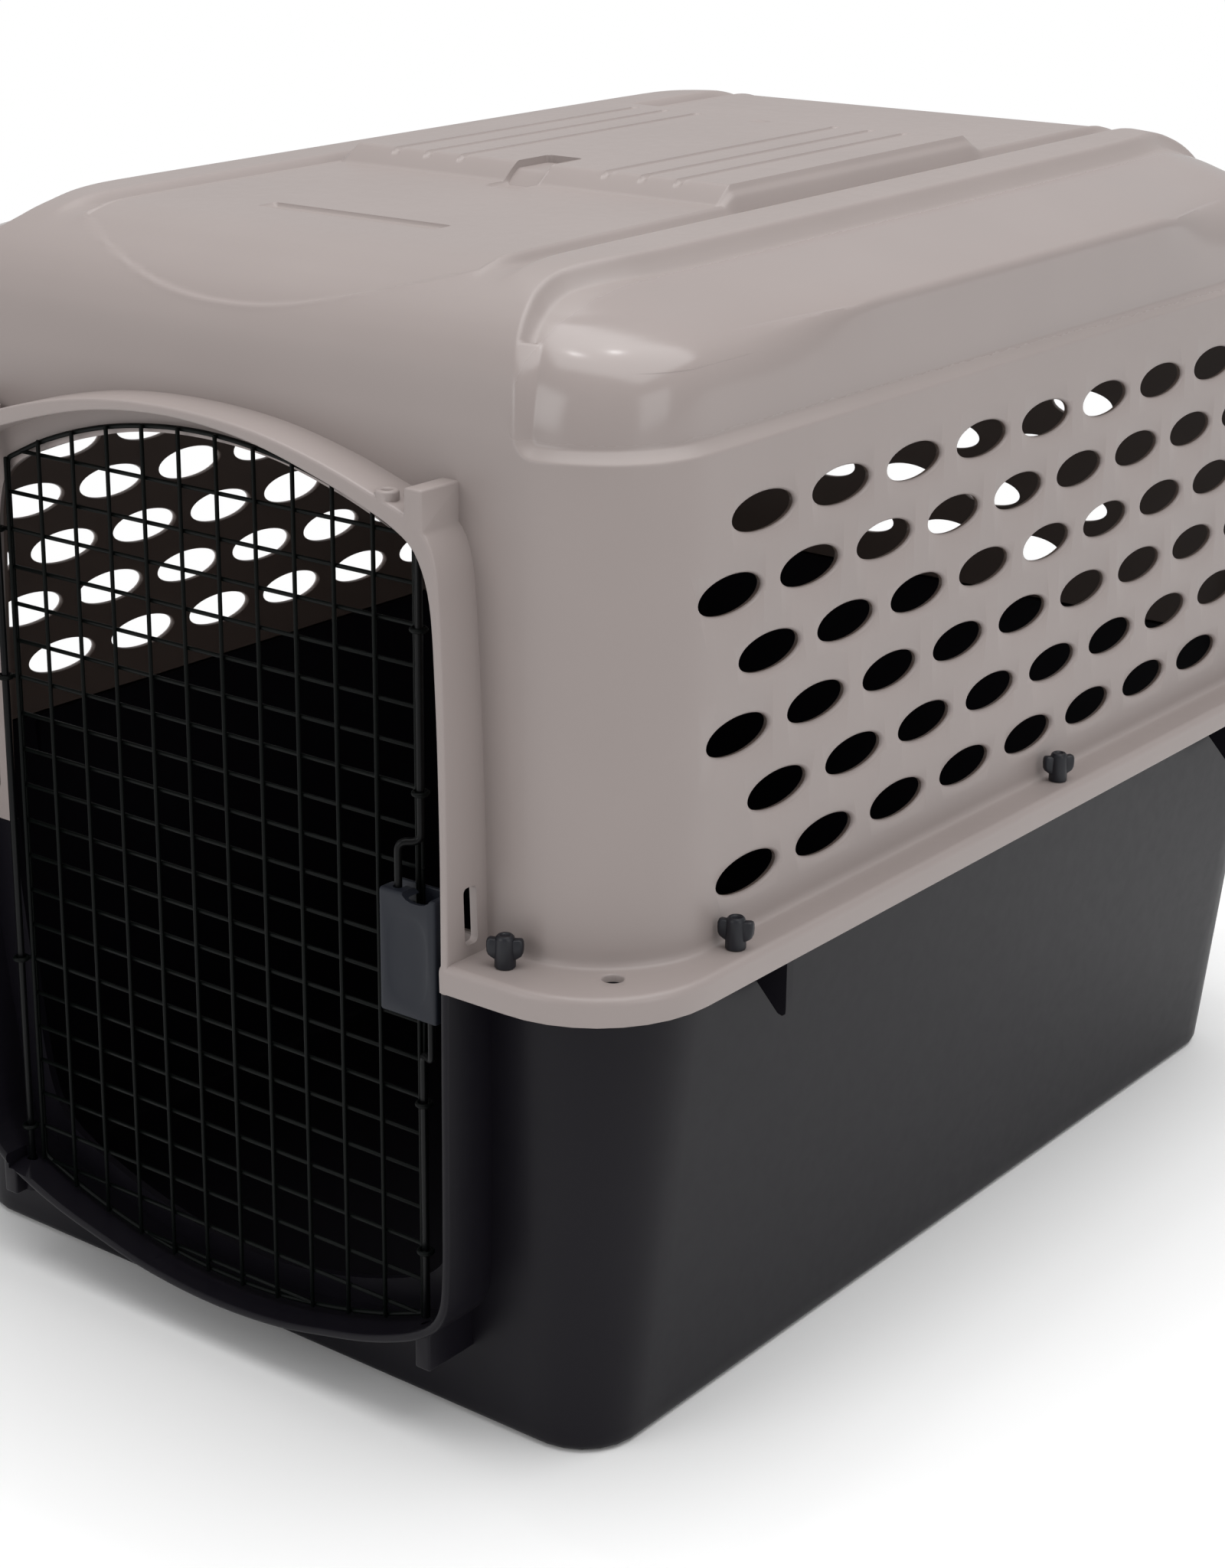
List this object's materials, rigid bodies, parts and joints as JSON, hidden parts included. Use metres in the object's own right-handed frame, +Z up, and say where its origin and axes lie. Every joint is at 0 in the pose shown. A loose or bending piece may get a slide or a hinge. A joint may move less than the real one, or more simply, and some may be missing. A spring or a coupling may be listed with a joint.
{
  "type": "pet transport carrier",
  "caption": "Hard-shell pet carrier: vented top shell clamped to a deep base by rim wing nuts, with a swinging wire door and a squeeze latch.",
  "frame": {"origin": "middle of the base's underside, on the ground", "axes": "+X to the right of somebody facing the door, +Y from the door to the rear, +Z up"},
  "size_m": [0.521, 0.708, 0.5523],
  "materials": {
    "taupe_shell": "fine-textured moulded polypropylene, satin",
    "charcoal_base": "fine-textured moulded polypropylene, satin",
    "latch_plastic": "smooth moulded plastic",
    "knob_plastic": "smooth moulded plastic",
    "door_wire": "dark coated welded wire",
    "plain_steel": "zinc-plated steel"
  },
  "bodies": {
    "base": {"base_shell": "charcoal_base", "clamp_bolt_front_right": "plain_steel", "clamp_bolt_front_left": "plain_steel", "clamp_bolt_side_right_front": "plain_steel", "clamp_bolt_side_left_front": "plain_steel", "clamp_bolt_side_right_mid": "plain_steel", "clamp_bolt_side_left_mid": "plain_steel", "clamp_bolt_side_right_rear": "plain_steel", "clamp_bolt_side_left_rear": "plain_steel", "clamp_bolt_rear_right": "plain_steel", "clamp_bolt_rear_left": "plain_steel"},
    "top": {"top_shell": "taupe_shell"},
    "door": {"door_grille": "door_wire", "hinge_rod": "door_wire", "latch_cover": "latch_plastic", "latch_back_plate": "latch_plastic", "latch_spring": "plain_steel"},
    "upper_latch": {"upper_latch_rod": "door_wire"},
    "lower_latch": {"lower_latch_rod": "door_wire"},
    "nut_front_right": {"wing_nut_front_right": "knob_plastic"},
    "nut_front_left": {"wing_nut_front_left": "knob_plastic"},
    "nut_side_right_front": {"wing_nut_side_right_front": "knob_plastic"},
    "nut_side_left_front": {"wing_nut_side_left_front": "knob_plastic"},
    "nut_side_right_mid": {"wing_nut_side_right_mid": "knob_plastic"},
    "nut_side_left_mid": {"wing_nut_side_left_mid": "knob_plastic"},
    "nut_side_right_rear": {"wing_nut_side_right_rear": "knob_plastic"},
    "nut_side_left_rear": {"wing_nut_side_left_rear": "knob_plastic"},
    "nut_rear_right": {"wing_nut_rear_right": "knob_plastic"},
    "nut_rear_left": {"wing_nut_rear_left": "knob_plastic"}
  },
  "joints": [
    {"name": "top_lift", "type": "slide", "parent": "base", "child": "top", "axis": [0, 0, 1], "range_m": [0, 0.25]},
    {"name": "door_swing", "type": "hinge", "parent": "base", "child": "door", "pos_m": [-0.1335, -0.3296, 0.236], "axis": [0, 0, -1], "range_deg": [0, 110]},
    {"name": "upper_latch_slide", "type": "slide", "parent": "door", "child": "upper_latch", "axis": [0, 0, -1], "range_m": [-0.008, 0.006], "stiffness_N_per_m": 60, "springref_m": -0.008, "deforming": ["latch_spring"]},
    {"name": "lower_latch_slide", "type": "slide", "parent": "door", "child": "lower_latch", "axis": [0, 0, 1], "range_m": [-0.008, 0.006], "stiffness_N_per_m": 60, "springref_m": -0.008},
    {"name": "nut_spin_front_right", "type": "hinge", "parent": "top", "child": "nut_front_right", "pos_m": [0.186, -0.338, 0.256], "axis": [0, 0, 1], "continuous": true},
    {"name": "nut_spin_front_left", "type": "hinge", "parent": "top", "child": "nut_front_left", "pos_m": [-0.186, -0.338, 0.256], "axis": [0, 0, 1], "continuous": true},
    {"name": "nut_spin_side_right_front", "type": "hinge", "parent": "top", "child": "nut_side_right_front", "pos_m": [0.2503, -0.26, 0.256], "axis": [0, 0, 1], "continuous": true},
    {"name": "nut_spin_side_left_front", "type": "hinge", "parent": "top", "child": "nut_side_left_front", "pos_m": [-0.2503, -0.26, 0.256], "axis": [0, 0, 1], "continuous": true},
    {"name": "nut_spin_side_right_mid", "type": "hinge", "parent": "top", "child": "nut_side_right_mid", "pos_m": [0.2503, 0.021, 0.256], "axis": [0, 0, 1], "continuous": true},
    {"name": "nut_spin_side_left_mid", "type": "hinge", "parent": "top", "child": "nut_side_left_mid", "pos_m": [-0.2503, 0.021, 0.256], "axis": [0, 0, 1], "continuous": true},
    {"name": "nut_spin_side_right_rear", "type": "hinge", "parent": "top", "child": "nut_side_right_rear", "pos_m": [0.2503, 0.262, 0.256], "axis": [0, 0, 1], "continuous": true},
    {"name": "nut_spin_side_left_rear", "type": "hinge", "parent": "top", "child": "nut_side_left_rear", "pos_m": [-0.2503, 0.262, 0.256], "axis": [0, 0, 1], "continuous": true},
    {"name": "nut_spin_rear_right", "type": "hinge", "parent": "top", "child": "nut_rear_right", "pos_m": [0.12, 0.338, 0.256], "axis": [0, 0, 1], "continuous": true},
    {"name": "nut_spin_rear_left", "type": "hinge", "parent": "top", "child": "nut_rear_left", "pos_m": [-0.12, 0.338, 0.256], "axis": [0, 0, 1], "continuous": true}
  ],
  "couplings": [
    {"joint": "lower_latch_slide", "follows": "upper_latch_slide", "ratio": 1}
  ]
}
